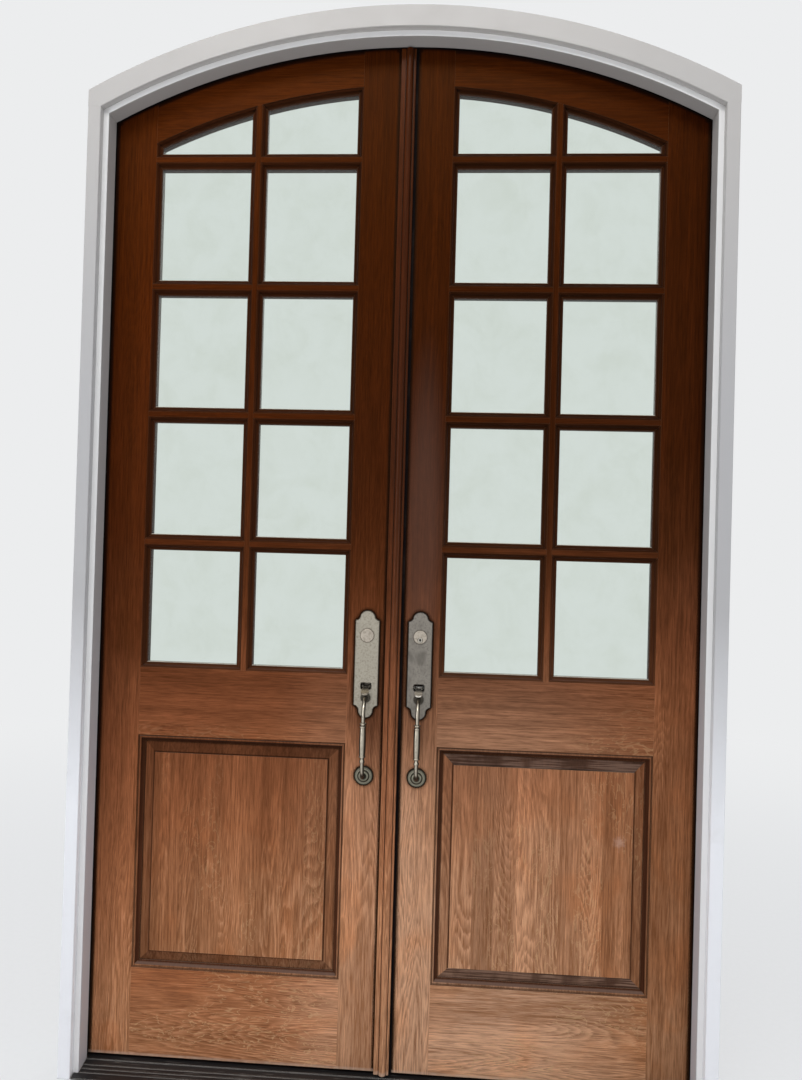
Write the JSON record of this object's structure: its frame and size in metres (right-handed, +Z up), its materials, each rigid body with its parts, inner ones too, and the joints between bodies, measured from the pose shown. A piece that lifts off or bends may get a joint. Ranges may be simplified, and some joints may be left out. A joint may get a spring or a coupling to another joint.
{
  "type": "double entry door",
  "caption": "Arched double entry door with glazed upper lights, raised lower panels and thumb-latch handle sets, hung inwards in a rabbeted frame with casings and threshold.",
  "frame": {"origin": "middle of the footprint, at the underside of the threshold, below the meeting line of the leaves", "axes": "+X across the doorway to the right as seen from outside, +Y inwards from the outside face, +Z up"},
  "size_m": [1.7096, 0.1825, 2.8513],
  "materials": {
    "stile_wood": "stained and varnished oak, weathered towards the bottom",
    "rail_wood": "stained and varnished oak, weathered towards the bottom",
    "top_rail_wood": "stained and varnished oak",
    "panel_wood": "stained and varnished oak boards",
    "moulding_wood": "dark stained oak",
    "astragal_wood": "glossy stained oak",
    "white_jamb": "white paint",
    "white_casing": "white paint",
    "clear_glass": "clear",
    "sill_metal": "dark anodised, scratched on the ridges",
    "black_rubber": "matt",
    "dark_bronze": "dark bronze plate",
    "bolt_steel": "satin",
    "light_nickel": "aged nickel plate",
    "dark_nickel": "aged nickel plate, darker",
    "bright_nickel": "worn nickel plate",
    "grip_nickel": "aged nickel plate, bright where it is touched"
  },
  "bodies": {
    "frame": {"left_jamb": "white_jamb", "right_jamb": "white_jamb", "head_jamb": "white_jamb", "left_casing": "white_casing", "right_casing": "white_casing", "head_casing": "white_casing", "threshold": "sill_metal", "frame_seals": "black_rubber", "frame_hinges": "dark_bronze", "bolt_keepers": "bolt_steel"},
    "right_leaf": {"right_hinge_stile": "stile_wood", "right_lock_stile": "stile_wood", "right_top_rail": "top_rail_wood", "right_lock_rail": "rail_wood", "right_bottom_rail": "rail_wood", "right_upright_bar": "stile_wood", "right_cross_bars": "rail_wood", "right_panes": "clear_glass", "right_glazing_beads": "moulding_wood", "right_panel": "panel_wood", "right_panel_moulding": "moulding_wood", "right_door_sweep": "black_rubber", "right_hinges": "dark_bronze", "lock_cases": "bolt_steel", "right_handle_plate": "dark_nickel", "right_cylinder": "bright_nickel", "right_grip": "grip_nickel", "right_rosette": "grip_nickel", "right_inside_plate": "dark_nickel"},
    "left_leaf": {"left_hinge_stile": "stile_wood", "left_lock_stile": "stile_wood", "left_top_rail": "top_rail_wood", "left_lock_rail": "rail_wood", "left_bottom_rail": "rail_wood", "left_upright_bar": "stile_wood", "left_cross_bars": "rail_wood", "left_panes": "clear_glass", "left_glazing_beads": "moulding_wood", "left_panel": "panel_wood", "left_panel_moulding": "moulding_wood", "left_door_sweep": "black_rubber", "left_hinges": "dark_bronze", "astragal": "astragal_wood", "astragal_seal": "black_rubber", "edge_plates": "bolt_steel", "left_handle_plate": "light_nickel", "left_cylinder_disc": "bright_nickel", "left_thumb_piece": "grip_nickel", "left_grip": "grip_nickel", "left_rosette": "grip_nickel", "left_inside_plate": "light_nickel", "left_inside_lever": "grip_nickel"},
    "thumb_piece": {"right_thumb_piece": "grip_nickel"},
    "latch": {"latch_bolt": "bolt_steel"},
    "deadlock": {"dead_bolt": "bolt_steel"},
    "key": {"key_plug": "bright_nickel"},
    "lever": {"right_inside_lever": "grip_nickel"},
    "turn": {"thumb_turn": "grip_nickel"},
    "top_rod": {"top_bolt": "bolt_steel"},
    "bottom_rod": {"bottom_bolt": "bolt_steel"}
  },
  "joints": [
    {"name": "right_swing", "type": "hinge", "parent": "frame", "child": "right_leaf", "pos_m": [0.816, 0.04025, 1.34], "axis": [0, 0, -1], "range_deg": [0, 100]},
    {"name": "left_swing", "type": "hinge", "parent": "frame", "child": "left_leaf", "pos_m": [-0.816, 0.04025, 1.34], "axis": [0, 0, 1], "range_deg": [0, 90]},
    {"name": "thumb_press", "type": "hinge", "parent": "right_leaf", "child": "thumb_piece", "pos_m": [0.07135, -0.00975, 1.049], "axis": [1, 0, 0], "range_deg": [-15, 0]},
    {"name": "latch_slide", "type": "slide", "parent": "right_leaf", "child": "latch", "axis": [-1, 0, 0], "range_m": [0, 0.0127]},
    {"name": "turn_button", "type": "hinge", "parent": "right_leaf", "child": "turn", "pos_m": [0.07135, 0.03125, 1.1897], "axis": [0, 1, 0], "range_deg": [0, 90]},
    {"name": "dead_slide", "type": "slide", "parent": "right_leaf", "child": "deadlock", "axis": [-1, 0, 0], "range_m": [0, 0.025]},
    {"name": "key_turn", "type": "hinge", "parent": "right_leaf", "child": "key", "pos_m": [0.07135, -0.01325, 1.1822], "axis": [0, 1, 0], "range_deg": [0, 90]},
    {"name": "lever_turn", "type": "hinge", "parent": "right_leaf", "child": "lever", "pos_m": [0.07135, 0.03125, 1.05], "axis": [0, 1, 0], "range_deg": [0, 45], "stiffness_Nm_per_rad": 1, "springref_deg": -20.05},
    {"name": "top_bolt_slide", "type": "slide", "parent": "left_leaf", "child": "top_rod", "axis": [0, 0, 1], "range_m": [0, 0.018]},
    {"name": "bottom_bolt_slide", "type": "slide", "parent": "left_leaf", "child": "bottom_rod", "axis": [0, 0, -1], "range_m": [0, 0.018]}
  ],
  "couplings": [
    {"joint": "left_swing", "follows": "right_swing", "ratio": 0.9},
    {"joint": "latch_slide", "follows": "thumb_press", "m_per_rad": -0.0485},
    {"joint": "turn_button", "follows": "dead_slide", "rad_per_m": 62.8}
  ]
}
